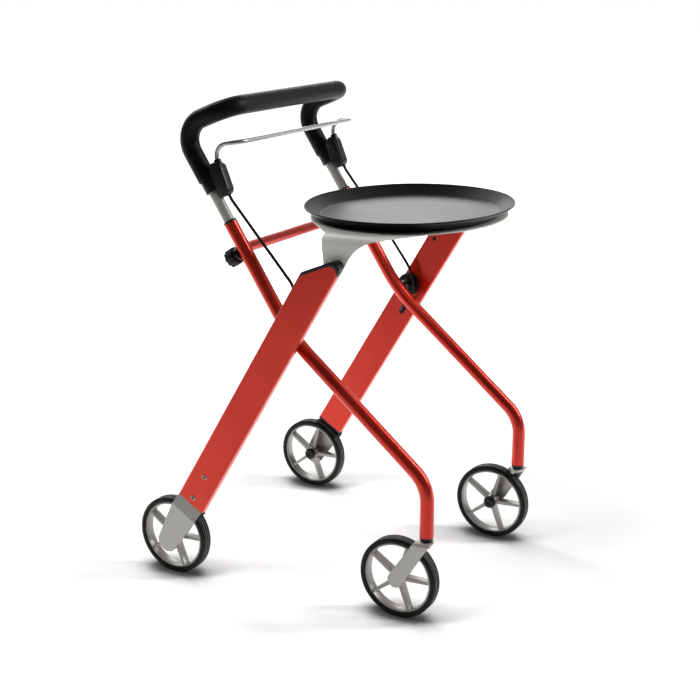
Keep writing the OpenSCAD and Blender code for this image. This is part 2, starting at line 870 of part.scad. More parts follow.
// section drawn from the rim inwards, swept round the oval
module oval_sweep() {
  for (k = [0, 1]) rotate([0, 0, k * half_turn]) {
    intersection() {
      translate([-side_c, 0, 0]) rotate_extrude() translate([side_r, 0]) children();
      linear_extrude(tray_rim_z + over) side_wedge();
    }
    intersection() {
      translate([0, end_c, 0]) rotate_extrude() translate([end_r, 0]) children();
      linear_extrude(tray_rim_z + over) end_wedge();
    }
  }
}

module tray_wall() {
  bead_z = tray_rim_z - bead_r;
  polygon([[-tray_flare - tray_t, tray_base_z], [-tray_flare, tray_base_z],
    [-bead_r * flank_share, bead_z], [-bead_r * (2 - flank_share), bead_z],
    [-tray_flare - tray_t, tray_floor_z]]);
  translate([-bead_r, bead_z]) circle(bead_r);
}

module tray() {
  color(black) placed() translate([tray_x, 0, 0]) {
    oval_sweep() tray_wall();
    translate([0, 0, tray_base_z]) linear_extrude(tray_t) oval(-tray_flare - tray_t * middle_share);
  }
}

module arm_outline() {
  tip = fillet_s - arm_tongue;
  difference() {
    polygon([[tray_x - arm_rear, carrier_z + over], [arm_x - arm_trim, carrier_z + over],
      [arm_x - arm_trim, fillet_z],
      on_leg_xz(arm_front, fillet_s), on_leg_xz(arm_front, tip), on_leg_xz(arm_front - arm_tongue_w, tip)]);
    translate([arm_x, fillet_z]) circle(arm_fillet_r);
  }
}

// flat webs from the oval to the arms
module carrier_webs() {
  roll_y = leg_in - carrier_bend_r;
  rear = [[-web_rear_x, web_rear_y], [-arm_rear, roll_y]];
  front = [[arm_x - arm_trim - tray_x, roll_y], [web_front_x, web_front_y]];
  half = concat(rear, front);
  polygon(concat(half, [for (i = [3, 2, 1, 0]) [half[i][0], -half[i][1]]]));
}

module sheet_section() {
  deep = tray_len;
  translate([0, carrier_z - deep / 2]) difference() {
    round_box(2 * leg_in, deep, carrier_bend_r);
    round_box(2 * leg_in - 2 * sheet_t, deep - 2 * sheet_t, carrier_bend_r - sheet_t);
  }
}

module carrier_holes(r, y0, y1) {
  for (k = [1, 2])
    pin_y(arm_front - arm_tongue_w / 2, fillet_s - arm_tongue + k * carrier_head_d, r, y0, y1);
}

module carrier() {
  color(silver) placed() difference() {
    union() {
      translate([tray_x, 0, carrier_z - sheet_t]) linear_extrude(sheet_t) {
        oval(-carrier_inset);
        carrier_webs();
      }
      intersection() {
        along_y(-leg_in - over, leg_in + over) arm_outline();
        rotate([quarter_turn, 0, quarter_turn]) linear_extrude(tray_front) sheet_section();
      }
    }
    both_sides() on_leg() carrier_holes(carrier_bolt_d / 2, leg_in - leg_t, leg_in + over);
  }
}

module carrier_bolts() {
  color(steel) placed() both_sides() on_leg() {
    carrier_holes(carrier_bolt_d / 2, leg_in - sheet_t, leg_in + leg_wall + carrier_head_h);
    carrier_holes(carrier_head_d * side_share / 2, leg_in - sheet_t - carrier_head_h, leg_in - sheet_t);
  }
}

// handle
module handle_tube() {
  color(silver) placed() route([inner_end, grip_rear, grip_front, other_side(grip_front),
    other_side(grip_rear), other_side(inner_end)], [grip_rear_r, grip_bar_r, grip_bar_r, grip_rear_r],
    inner_od / 2, inner_od / 2 - tube_wall);
}

module foam_grip() {
  color(black) placed() route([foam_low, grip_rear, grip_front, other_side(grip_front),
    other_side(grip_rear), other_side(foam_low)], [grip_rear_r, grip_bar_r, grip_bar_r, grip_rear_r],
    foam_od / 2, inner_od / 2);
}

module pod_solid() {
  difference() {
    union() {
      on_pod() along_y(-pod_t / 2, pod_t / 2) oblong(pod_len, pod_w);
      aim(collar_low, up, ahead) cylinder(r = collar_d / 2, h = collar_len);
    }
    aim(collar_low - up * collar_len, up, ahead) cylinder(r = inner_od / 2, h = 4 * collar_len);
    aim(foam_low, up, ahead) cylinder(r = foam_od / 2, h = pod_len);
    on_pod() translate([rod_off, 0, -rod_depth - over]) cylinder(r = bar_d / 2 + face_gap, h = pod_len);
    on_pod() translate([rod_off, 0, -pod_len])
      cylinder(r = cable_d / 2 + face_gap, h = pod_len - pod_end);
    on_pod() pod_screw_set(screw_d / 4, -pod_t / 2 - over, 0);
  }
}

module brake_pod_left() {
  color(black) placed() pod_solid();
}

module brake_pod_right() {
  color(black) placed() mirrored() pod_solid();
}

module pod_screw_set(r, y0, y1) {
  for (k = [-1, 1]) pin_y(-rod_off, k * screw_gap / 2, r, y0, y1);
}

module pod_cover() {
  difference() {
    on_pod() along_y(-pod_t / 2 - cover_t, -pod_t / 2)
      oblong(pod_len - 2 * cover_margin, pod_w - 2 * cover_margin);
    aim(collar_low - up * collar_len, up, ahead) cylinder(r = collar_d / 2, h = 2 * collar_len);
    aim(foam_low, up, ahead) cylinder(r = foam_od / 2, h = pod_len);
    on_pod() pod_screw_set(screw_d / 4, -pod_t, 0);
  }
}

module pod_covers() {
  color(black) placed() both_sides() pod_cover();
}

module pod_screws() {
  color(steel) placed() both_sides() on_pod() {
    pod_screw_set(screw_d / 4, -pod_t / 2 - cover_t, -pod_t / 4);
    pod_screw_set(screw_d / 2, -pod_t / 2 - cover_t - screw_h, -pod_t / 2 - cover_t);
  }
}

module pod_ferrules() {
  color(black) placed() both_sides() difference() {
    on_pod() translate([rod_off, 0, 0]) linear_extrude(rod_exit + ferrule_h)
      ring(ferrule_d / 2, bar_d / 2 + run_gap);
    on_pod() along_y(-pod_t, pod_t) oblong(pod_len, pod_w);
  }
}

module brake_bar() {
  color(steel) placed() route([rod_low, bar_rear, bar_front, other_side(bar_front), other_side(bar_rear),
    other_side(rod_low)], [bar_bend_r, bar_bend_r, bar_bend_r, bar_bend_r], bar_d / 2);
}

// brake cables: from the pod round the pivot into the leg
cable_low = pod_point(rod_off, -pod_len / 2 - cable_d);
cable_in = pod_point(rod_off, -pod_end - cable_d);
slot_xz = on_leg_xz(slot_off, slot_along);
cable_y = leg_in - cable_aside;

module cable_solid(bow_x, bow_z) {
  route([cable_in, cable_low, [pivot[0] + bow_x, cable_y - cable_d, pivot[2] + bow_z],
    [pivot[0] + cable_fore, cable_y, pivot[2] + cable_rise],
    [pivot[0] + cable_fore, cable_y, pivot[2] - cable_drop],
    [slot_xz[0], leg_in - cable_last, slot_xz[1]], [slot_xz[0], leg_in + leg_wall, slot_xz[1]]],
    [cable_bend_r, cable_bend_r, cable_sweep_r, cable_bend_r, cable_slot_r], cable_d / 2);
}

module cable_left() {
  color(black) placed() cable_solid(left_bow_x, left_bow_z);
}

module cable_right() {
  color(black) placed() mirrored() cable_solid(right_bow_x, right_bow_z);
}

// clamp knobs
module on_knob() {
  aim(knob_at, -ahead, up) children();
}

module knob_solid() {
  neck = tube_r + face_gap;
  on_knob() difference() {
    union() {
      translate([0, 0, neck]) cylinder(r = neck_d / 2, h = neck_len);
      translate([0, 0, neck + neck_len]) cylinder(r = knob_d / 2, h = knob_t);
    }
    for (k = [1 : knob_flutes]) rotate([0, 0, k * 2 * half_turn / knob_flutes])
      translate([knob_d / 2 + flute_d / 4, 0, neck + neck_len - over])
        cylinder(r = flute_d / 2, h = knob_t + 2 * over);
    cylinder(r = stud_d / 2, h = neck + neck_len + knob_t / 2);
  }
}

module knob_left() {
  color(black) placed() knob_solid();
}

module knob_right() {
  color(black) placed() mirrored() knob_solid();
}

module stud_solid() {
  on_knob() translate([0, 0, inner_od / 2 + face_gap])
    cylinder(r = stud_d / 2, h = tube_r + neck_len + knob_t / 2 - inner_od / 2);
}

module knob_stud_left() {
  color(steel) placed() stud_solid();
}

module knob_stud_right() {
  color(steel) placed() mirrored() stud_solid();
}

// casters
module caster_outline() {
  hub_at = [wheel_base, wheel_r];
  top_at = [stem_x - caster_arm_back, crown_low];
  way = unit(top_at - hub_at);
  side = [-way[1], way[0]];
  polygon([hub_at + side * caster_end_r, top_at + side * caster_arm_w / 2,
    [stem_x - crown_d / 2, crown_top], [stem_x + crown_d / 2, crown_top],
    top_at - side * caster_arm_w / 2, hub_at - side * caster_end_r]);
  translate(hub_at) circle(caster_end_r);
}

// caster seen from the front: y across, z up
module caster_front() {
  difference() {
    union() {
      translate([tube_y, 0]) square([caster_out - shoulder_r - tube_y, crown_top]);
      translate([tube_y, 0]) square([caster_out - tube_y, crown_top - shoulder_r]);
      translate([caster_out - shoulder_r, crown_top - shoulder_r]) circle(shoulder_r);
    }
    translate([tube_y - over, -over]) square([caster_in - tube_y + over, crown_low + over]);
  }
}

module caster_fork_solid() {
  difference() {
    union() {
      intersection() {
        along_y(tube_y - over, caster_out + over) caster_outline();
        translate([wheel_base - wheel_d, 0, 0]) rotate([quarter_turn, 0, quarter_turn])
          linear_extrude(2 * wheel_d) caster_front();
      }
      translate([stem_x, tube_y, crown_low]) cylinder(r = crown_d / 2, h = crown_t);
    }
    translate([stem_x, tube_y, crown_low - over]) cylinder(r = post_d / 2, h = crown_t + 2 * over);
    on_front_wheel() axle_seat();
  }
}

module caster_fork_left() {
  color(cast_gray) placed() caster_fork_solid();
}

module caster_fork_right() {
  color(cast_gray) placed() mirrored() caster_fork_solid();
}

module post_solid() {
  translate([stem_x, tube_y, crown_low])
    cylinder(r = post_d / 2, h = stem_bottom - crown_low + post_len - over);
}

module caster_post_left() {
  color(steel) placed() post_solid();
}

module caster_post_right() {
  color(steel) placed() mirrored() post_solid();
}

module front_axle_left() {
  color(steel) placed() on_front_wheel() axle_solid();
}

module front_axle_right() {
  color(steel) placed() mirrored() on_front_wheel() axle_solid();
}

// wheel pieces in the wheel frame
module tyre_section() {
  seat = wheel_r - tyre_t;
  difference() {
    union() {
      translate([seat, -tyre_w * side_share / 2]) square([tyre_t - tyre_round, tyre_w * side_share]);
      intersection() {
        translate([wheel_r - tyre_t, 0]) round_box(2 * tyre_t, tyre_w, tyre_round);
        translate([seat, -tyre_w]) square([tyre_t, 2 * tyre_w]);
      }
    }
    for (k = [-1, 0, 1])
      translate([wheel_r - groove_t, k * groove_gap - groove_w / 2]) square([tyre_t, groove_w]);
  }
}

module tyre_solid() {
  rotate_extrude() tyre_section();
}

module spoke_outline() {
  root = hub_d * flank_share;
  tip = wheel_r - tyre_t - rim_t / 2;
  polygon([[root, -spoke_root_t / 2], [tip, -spoke_t / 2], [tip, spoke_t / 2], [root, spoke_root_t / 2]]);
}

module rim_solid() {
  seat = wheel_r - tyre_t;
  difference() {
    union() {
      translate([0, 0, -rim_w / 2]) linear_extrude(rim_w) ring(seat, seat - rim_t);
      translate([0, 0, -hub_half]) cylinder(r = hub_d / 2, h = hub_len);
      for (k = [1 : spokes]) rotate([0, 0, spoke_phase + k * 2 * half_turn / spokes])
        translate([0, 0, -spoke_depth / 2]) linear_extrude(spoke_depth) spoke_outline();
    }
    translate([0, 0, -hub_len]) cylinder(r = axle_d / 2 + fork_gap, h = 2 * hub_len);
    for (z = [-hub_half - over, hub_half - bearing_w])
      translate([0, 0, z]) cylinder(r = bearing_od / 2, h = bearing_w + over);
  }
}

module bearing_pair() {
  for (z = [-hub_half, hub_half - bearing_w])
    translate([0, 0, z]) linear_extrude(bearing_w) ring(bearing_od / 2, axle_d / 2 + run_gap);
}

module hub_cap_solid() {
  difference() {
    translate([0, 0, hub_half]) cylinder(r = hub_cap_d / 2, h = hub_cap_h);
    translate([0, 0, hub_half - over])
      cylinder(r = hub_cap_d / 2 - hub_cap_wall, h = hub_cap_h - hub_cap_wall + over);
    translate([0, 0, hub_half + hub_cap_h - cap_recess_t])
      cylinder(r = cap_recess_d / 2, h = cap_recess_t + over);
  }
}

module tyre_rear_left() {
  color(tyre_black) placed() on_rear_wheel() tyre_solid();
}

module tyre_rear_right() {
  color(tyre_black) placed() mirrored() on_rear_wheel() tyre_solid();
}

module tyre_front_left() {
  color(tyre_black) placed() on_front_wheel() tyre_solid();
}

module tyre_front_right() {
  color(tyre_black) placed() mirrored() on_front_wheel() tyre_solid();
}

module rim_rear_left() {
  color(cast_gray) placed() on_rear_wheel() rim_solid();
}

module rim_rear_right() {
  color(cast_gray) placed() mirrored() on_rear_wheel() rim_solid();
}

module rim_front_left() {
  color(cast_gray) placed() on_front_wheel() rim_solid();
}

module rim_front_right() {
  color(cast_gray) placed() mirrored() on_front_wheel() rim_solid();
}

module bearings_rear_left() {
  color(steel) placed() on_rear_wheel() bearing_pair();
}

module bearings_rear_right() {
  color(steel) placed() mirrored() on_rear_wheel() bearing_pair();
}

module bearings_front_left() {
  color(steel) placed() on_front_wheel() bearing_pair();
}

module bearings_front_right() {
  color(steel) placed() mirrored() on_front_wheel() bearing_pair();
}

module hub_cap_rear_left() {
  color(black) placed() on_rear_wheel() hub_cap_solid();
}

module hub_cap_rear_right() {
  color(black) placed() mirrored() on_rear_wheel() hub_cap_solid();
}

module hub_cap_front_left() {
  color(black) placed() on_front_wheel() hub_cap_solid();
}

module hub_cap_front_right() {
  color(black) placed() mirrored() on_front_wheel() hub_cap_solid();
}

tube_left();
tube_right();
cross_tube();
tube_bushes();
stem_sleeves();
pivot_bolts();
pivot_spacers();
leg_left();
leg_right();
leg_caps();
leg_rivets();
leg_grommets();
rear_fork_left();
rear_fork_right();
rear_axle_left();
rear_axle_right();
carrier();
carrier_bolts();
tray();
handle_tube();
foam_grip();
brake_pod_left();
brake_pod_right();
pod_covers();
pod_screws();
pod_ferrules();
brake_bar();
shoe_left();
shoe_right();
cable_left();
cable_right();
knob_left();
knob_right();
knob_stud_left();
knob_stud_right();
caster_fork_left();
caster_fork_right();
caster_post_left();
caster_post_right();
front_axle_left();
front_axle_right();
tyre_rear_left();
tyre_rear_right();
tyre_front_left();
tyre_front_right();
rim_rear_left();
rim_rear_right();
rim_front_left();
rim_front_right();
bearings_rear_left();
bearings_rear_right();
bearings_front_left();
bearings_front_right();
hub_cap_rear_left();
hub_cap_rear_right();
hub_cap_front_left();
hub_cap_front_right();
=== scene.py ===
import json
import math

import bpy
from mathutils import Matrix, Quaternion, Vector

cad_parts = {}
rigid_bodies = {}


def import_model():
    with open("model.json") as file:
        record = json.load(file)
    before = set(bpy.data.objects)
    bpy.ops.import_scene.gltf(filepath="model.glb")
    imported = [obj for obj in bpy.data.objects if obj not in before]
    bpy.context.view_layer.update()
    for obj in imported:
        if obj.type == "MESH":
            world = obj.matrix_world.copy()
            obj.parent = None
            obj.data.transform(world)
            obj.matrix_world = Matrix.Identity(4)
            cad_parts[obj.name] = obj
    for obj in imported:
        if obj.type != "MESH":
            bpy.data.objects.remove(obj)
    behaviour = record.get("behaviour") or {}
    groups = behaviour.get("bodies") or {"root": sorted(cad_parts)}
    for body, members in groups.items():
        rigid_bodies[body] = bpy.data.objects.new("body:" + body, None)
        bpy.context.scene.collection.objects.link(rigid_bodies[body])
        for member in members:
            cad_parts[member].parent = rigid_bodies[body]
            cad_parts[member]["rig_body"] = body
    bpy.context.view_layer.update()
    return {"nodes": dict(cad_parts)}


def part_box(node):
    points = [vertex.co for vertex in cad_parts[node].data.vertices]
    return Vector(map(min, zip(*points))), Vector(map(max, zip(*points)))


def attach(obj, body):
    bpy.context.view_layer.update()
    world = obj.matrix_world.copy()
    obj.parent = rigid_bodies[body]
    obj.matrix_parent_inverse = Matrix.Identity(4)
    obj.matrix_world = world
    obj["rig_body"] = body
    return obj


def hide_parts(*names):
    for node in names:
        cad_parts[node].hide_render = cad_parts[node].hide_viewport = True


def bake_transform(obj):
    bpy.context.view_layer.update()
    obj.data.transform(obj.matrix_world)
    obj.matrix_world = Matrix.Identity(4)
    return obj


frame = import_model()
mm = 0.001
mergeGap = 0.001 * mm  # points closer than this become one
print("frame loaded:", len(frame["nodes"]), "solids")


def deselectAll():
    if bpy.context.object and bpy.context.object.mode != "OBJECT":
        bpy.ops.object.mode_set(mode="OBJECT")
    bpy.ops.object.select_all(action="DESELECT")


# camera at the photograph's place, square frame
cameraPlan = {"place": (1.22064, -2.1065, 1.1290), "target": (-0.02146, 0.04075, 0.3964),
              "lens": 68.4, "sensor": 36.0, "farClip": 60}
deselectAll()
bpy.ops.object.camera_add(location=cameraPlan["place"])
camera = bpy.context.object
towards = Vector(cameraPlan["target"]) - Vector(cameraPlan["place"])
camera.rotation_euler = towards.to_track_quat("-Z", "Y").to_euler()
camera.data.lens = cameraPlan["lens"]
camera.data.sensor_width = cameraPlan["sensor"]
camera.data.clip_end = cameraPlan["farClip"]
bpy.context.scene.camera = camera
print("camera set")


def applyModifier(piece, modifier):
    bpy.context.view_layer.objects.active = piece
    bpy.ops.object.modifier_apply(modifier=modifier.name)


def smoothBelow(degrees):  # faces that meet at less than this angle shade as one
    bpy.ops.object.shade_smooth_by_angle(angle=math.radians(degrees))


def takeFinish(piece, material, body, slot, *nodes):
    piece.data.materials.clear()
    piece.data.materials.append(material)
    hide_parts(*nodes)
    if body:  # a blended piece has none of its own
        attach(piece, body)
    return piece


def mirrorPoint(point):
    return (point[0], -point[1], point[2])


def linear(code):  # sRGB hex code to linear RGBA
    parts = [int(code[i:i + 2], 16) / 255 for i in (1, 3, 5)]
    return [c / 12.92 if c <= 0.04045 else ((c + 0.055) / 1.055) ** 2.4 for c in parts] + [1]


def addNode(tree, kind, links=None, **settings):
    made = tree.nodes.new(kind)
    for name, value in settings.items():
        setattr(made, name, value)
    for socket, value in (links or {}).items():
        if isinstance(value, bpy.types.NodeSocket):
            tree.links.new(value, made.inputs[socket])
        else:
            made.inputs[socket].default_value = value
    return made


def newMaterial(name, **sockets):
    material = bpy.data.materials.new(name)
    material.use_nodes = True
    tree = material.node_tree
    shader = tree.nodes["Principled BSDF"]
    for socket, value in sockets.items():
        shader.inputs[socket.replace("_", " ")].default_value = value
    place = addNode(tree, "ShaderNodeTexCoord").outputs["Object"]
    return material, tree, shader, place


def layFinish(tree, shader, look, tint, wear, relief):  # colour, roughness and bump from three patterns
    tintRange = (0.3, 0.7)  # noise seldom leaves this
    ramp = addNode(tree, "ShaderNodeValToRGB", {"Fac": tint})
    for stop, position, colour in zip(ramp.color_ramp.elements, tintRange, (look["dark"], look["light"])):
        stop.position = position
        stop.color = linear(colour)
    rough = addNode(tree, "ShaderNodeMapRange", {
        "Value": wear, "To Min": look["rough"][0], "To Max": look["rough"][1]})
    bump = addNode(tree, "ShaderNodeBump", {
        "Strength": look["bump"], "Distance": look["bumpMm"] * mm, "Height": relief})
    tree.links.new(ramp.outputs["Color"], shader.inputs["Base Color"])
    tree.links.new(rough.outputs["Result"], shader.inputs["Roughness"])
    tree.links.new(bump.outputs["Normal"], shader.inputs["Normal"])


def redLacquer():  # lacquered aluminium: deep orange red under a clear satin coat, with a fine flake
    look = {"dark": "#B92717", "light": "#C63220", "cloudMm": 120, "rough": (0.27, 0.36), "bump": 0.03,
            "bumpMm": 0.2, "flakeMm": 1.2, "flakeShare": 0.35}  # the flake is coarse, so that it shows
    material, tree, shader, place = newMaterial(
        "redLacquer", Metallic=0.75, Coat_Weight=0.25, Coat_Roughness=0.12)
    cloud = addNode(tree, "ShaderNodeTexNoise", {
        "Vector": place, "Scale": 1 / (look["cloudMm"] * mm), "Detail": 2}).outputs["Fac"]
    flake = addNode(tree, "ShaderNodeTexNoise", {
        "Vector": place, "Scale": 1 / (look["flakeMm"] * mm), "Detail": 2}).outputs["Fac"]
    both = addNode(tree, "ShaderNodeMix", {"Factor": look["flakeShare"], "A": cloud, "B": flake})
    layFinish(tree, shader, look, both.outputs["Result"], flake, flake)
    return material


def metalFinish(name, look):  # bare or painted metal with one fine grain
    material, tree, shader, place = newMaterial(name, Metallic=look["metallic"])
    grain = addNode(tree, "ShaderNodeTexNoise", {
        "Vector": place, "Scale": 1 / (look["grainMm"] * mm), "Detail": 3, "Roughness": 0.6}).outputs["Fac"]
    layFinish(tree, shader, look, grain, grain, grain)
    return material


def blackFinish(name, look):  # rubber, foam or moulded plastic: a fine grain over slow drifts of tone
    driftMm, driftShare = 60, 0.5
    material, tree, shader, place = newMaterial(name, Specular_IOR_Level=look["specular"])
    grain = addNode(tree, "ShaderNodeTexNoise", {
        "Vector": place, "Scale": 1 / (look["grainMm"] * mm), "Detail": 3}).outputs["Fac"]
    drift = addNode(tree, "ShaderNodeTexNoise", {
        "Vector": place, "Scale": 1 / (driftMm * mm), "Detail": 2}).outputs["Fac"]
    both = addNode(tree, "ShaderNodeMix", {"Factor": driftShare, "A": grain, "B": drift}).outputs["Result"]
    layFinish(tree, shader, look, both, both, grain)
    return material


redPaint = redLacquer()
# anodised aluminium tube, drawn: even silver, faint grain, soft highlights
silverTube = metalFinish("anodisedAluminium", {
    "dark": "#8E8C87", "light": "#9E9C97", "grainMm": 1.5, "rough": (0.44, 0.54), "bump": 0.03,
    "bumpMm": 0.2, "metallic": 0.45})
# die-cast aluminium under gray paint: warm gray, fine orange peel
castGray = metalFinish("castAluminiumPaint", {
    "dark": "#A19F9A", "light": "#ADABA6", "grainMm": 1.6, "rough": (0.38, 0.48), "bump": 0.06,
    "bumpMm": 0.2, "metallic": 0.55})
# casting paint on the rims, a shade darker and glossier
rimGray = metalFinish("rimPaint", {
    "dark": "#7E7C78", "light": "#8C8A86", "grainMm": 1.6, "rough": (0.32, 0.42), "bump": 0.06,
    "bumpMm": 0.2, "metallic": 0.82})
# powder-coated sheet: pale gray, satin
carrierGray = metalFinish("powderCoatedSheet", {
    "dark": "#BDBCB7", "light": "#C7C6C1", "grainMm": 1.4, "rough": (0.46, 0.56), "bump": 0.05,
    "bumpMm": 0.2, "metallic": 0.3})
# polished steel of the brake bar: bright, with a soft sheen
polishedSteel = metalFinish("polishedSteel", {
    "dark": "#A2A2A0", "light": "#B4B4B2", "grainMm": 2.0, "rough": (0.32, 0.4), "bump": 0.015,
    "bumpMm": 0.2, "metallic": 1.0})
# zinc-plated fastener steel
zincSteel = metalFinish("zincSteel", {
    "dark": "#8F908F", "light": "#A5A6A5", "grainMm": 1.0, "rough": (0.28, 0.4), "bump": 0.04,
    "bumpMm": 0.2, "metallic": 1.0})
# glass-filled nylon, spark-textured mould: near black, satin
blackNylon = blackFinish("sparkedNylon", {
    "dark": "#060607", "light": "#0C0C0E", "grainMm": 1.2, "rough": (0.34, 0.44), "bump": 0.12,
    "bumpMm": 0.2, "specular": 0.3})
# closed-cell foam sleeve: matt, small pores
gripFoam = blackFinish("closedCellFoam", {
    "dark": "#050506", "light": "#0A0A0C", "grainMm": 1.8, "rough": (0.42, 0.52), "bump": 0.25,
    "bumpMm": 0.4, "specular": 0.13})
# tyre rubber: dull black
tyreRubber = blackFinish("tyreRubber", {
    "dark": "#070708", "light": "#0E0E10", "grainMm": 2.0, "rough": (0.36, 0.46), "bump": 0.15,
    "bumpMm": 0.25, "specular": 0.18})
# the running face of a tyre in a lighter gray, a painted highlight along the tread ridges
ridgeHighlightRubber = blackFinish("ridgeHighlightRubber", {
    "dark": "#3A3A3B", "light": "#484849", "grainMm": 2.0, "rough": (0.45, 0.55), "bump": 0.15,
    "bumpMm": 0.25, "specular": 0.4})
# moulded ABS tray with a fine leather-like grain
trayAbs = blackFinish("grainedAbs", {
    "dark": "#060607", "light": "#0B0B0C", "grainMm": 1.5, "rough": (0.38, 0.46), "bump": 0.14,
    "bumpMm": 0.2, "specular": 0.17})
# cable jacket, smooth PVC
cableJacket = blackFinish("cableJacket", {
    "dark": "#070708", "light": "#0D0D0E", "grainMm": 2.5, "rough": (0.38, 0.48), "bump": 0.04,
    "bumpMm": 0.1, "specular": 0.3})
print("materials made")


def bendAt(before, corner, after, radius):  # start and end of a round bend, its angle, centre and axis
    heading, turned = (corner - before).normalized(), (after - corner).normalized()
    angle = heading.angle(turned)
    setback = radius * math.tan(angle / 2)
    start = corner - heading * setback
    axis = heading.cross(turned).normalized()
    return start, corner + turned * setback, angle, start + axis.cross(heading) * radius, axis


def drawTube(name, corners, bends, radius, sides, bendSteps, wall=0):  # a rod where it has no wall
    deselectAll()
    points = [Vector(c) for c in corners]
    facing = (points[1] - points[0]).to_track_quat("Z", "Y").to_euler()
    bpy.ops.mesh.primitive_circle_add(vertices=sides, radius=radius, location=points[0], rotation=facing)
    tube = bpy.context.object
    tube.name = name
    bpy.ops.object.transform_apply(location=True, rotation=True, scale=True)
    bpy.ops.object.mode_set(mode="EDIT")
    bpy.ops.mesh.select_all(action="SELECT")
    at = points[0]
    for before, corner, after, bendRadius in zip(points, points[1:], points[2:], bends):
        start, end, angle, centre, axis = bendAt(before, corner, after, bendRadius)
        bpy.ops.mesh.extrude_region_move(TRANSFORM_OT_translate={"value": start - at})
        bpy.ops.mesh.spin(steps=bendSteps, angle=-angle, center=centre, axis=axis)
        at = end
    bpy.ops.mesh.extrude_region_move(TRANSFORM_OT_translate={"value": points[-1] - at})
    bpy.ops.mesh.select_all(action="SELECT")
    bpy.ops.mesh.remove_doubles(threshold=mergeGap)
    if not wall:
        bpy.ops.mesh.fill_holes(sides=0)
    bpy.ops.mesh.normals_make_consistent(inside=False)
    bpy.ops.object.mode_set(mode="OBJECT")
    if wall:
        thick = tube.modifiers.new("wall", "SOLIDIFY")
        thick.thickness = wall
        thick.offset = -1
        applyModifier(tube, thick)
    smoothBelow(40)
    return tube


def centreLine(corners, bends, bendSteps):
    points = [Vector(c) for c in corners]
    line = [points[0]]
    for before, corner, after, bendRadius in zip(points, points[1:], points[2:], bends):
        start, _, angle, centre, axis = bendAt(before, corner, after, bendRadius)
        for k in range(bendSteps + 1):
            line.append(centre + Quaternion(axis, angle * k / bendSteps) @ (start - centre))
    return line + [points[-1]]


def lengthOf(line):
    return sum((b - a).length for a, b in zip(line, line[1:]))


# brake cables: they leave the pods, bow past the pivots and go into the legs
cablePlan = {
    "diameter": 5.6 * mm, "bend": 40 * mm, "sweep": 80 * mm, "slotBend": 17.5 * mm, "sides": 16,
    "bendSteps": 12,
    "left": [(-0.13046, 0.2, 0.73413), (-0.12550, 0.2, 0.72184), (-0.03148, 0.221, 0.58829),
             (0.01752, 0.226, 0.51829), (0.01752, 0.226, 0.47029), (-0.01499, 0.231, 0.43193),
             (-0.01499, 0.2472, 0.43193)],
    "right": [(-0.13046, -0.2, 0.73413), (-0.12550, -0.2, 0.72184), (0.02052, -0.221, 0.58029),
              (0.01752, -0.226, 0.51829), (0.01752, -0.226, 0.47029), (-0.01499, -0.231, 0.43193),
              (-0.01499, -0.2472, 0.43193)]}
upperBends = [cablePlan["bend"], cablePlan["bend"]]
lowerBends = [cablePlan["sweep"], cablePlan["bend"], cablePlan["slotBend"]]
for side in ("left", "right"):
    route = [Vector(p) for p in cablePlan[side]]
    middle = (route[2] + route[3]) / 2  # the two halves meet here, on a straight
    halves = [
        ("cableUpper_", route[:3] + [middle], upperBends, "handle", "tube_frame", route[1], middle),
        ("cableLower_", [middle] + route[3:], lowerBends, "tube_frame", "leg_frame", middle, route[-2])]
    total = 0
    for name, corners, bends, fromBody, toBody, blendStart, blendEnd in halves:
        cable = drawTube(name + side, corners, bends, cablePlan["diameter"] / 2, cablePlan["sides"],
                         cablePlan["bendSteps"])
        takeFinish(cable, cableJacket, None, "black_rubber", "cable_" + side)
        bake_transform(cable)
        line = centreLine(corners, bends, cablePlan["bendSteps"])
        total += lengthOf(line)
    print("cable", side, round(total, 3), "m")
print("cables made")

# round tubes of the frame
tubePlan = {
    "radius": 12.5 * mm, "wall": 2 * mm, "bends": (300 * mm, 70 * mm), "sides": 48, "bendSteps": 24,
    "corners": [(-0.12624, 0.2, 0.67722), (-0.00206, 0.2, 0.48600), (0.27154, 0.2, 0.25885),
                (0.27154, 0.2, 0.16340)]}
for side in ("left", "right"):
    corners = [p if side == "left" else mirrorPoint(p) for p in tubePlan["corners"]]
    tube = drawTube("bentTube_" + side, corners, tubePlan["bends"], tubePlan["radius"], tubePlan["sides"],
                    tubePlan["bendSteps"], tubePlan["wall"])
    takeFinish(tube, redPaint, "tube_frame", "red_aluminium", "tube_" + side)

# handle tube that slides in them, and the foam grip over it with its rounded ends
handlePlan = {
    "radius": 10 * mm, "wall": 2 * mm, "sides": 40, "bendSteps": 16,
    "foamRadius": 17 * mm, "foamFit": 0.05 * mm, "foamSides": 56, "foamSteps": 20,
    "lip": 2.2 * mm, "lipSegments": 4, "lipAngle": math.radians(60),
    "bends": (42 * mm, 38 * mm, 38 * mm, 42 * mm),
    "inner": (-0.06088, 0.2, 0.57658), "foamLow": (-0.17308, 0.2, 0.74934),
    "rear": (-0.23135, 0.2, 0.83908), "front": (-0.12589, 0.2, 0.88105)}
gripHalf = [handlePlan["rear"], handlePlan["front"]]
grip = gripHalf + [mirrorPoint(p) for p in reversed(gripHalf)]
handleTube = drawTube(
    "handleTube", [handlePlan["inner"]] + grip + [mirrorPoint(handlePlan["inner"])], handlePlan["bends"],
    handlePlan["radius"], handlePlan["sides"], handlePlan["bendSteps"], handlePlan["wall"])
takeFinish(handleTube, silverTube, "handle", "silver_aluminium", "handle_tube")

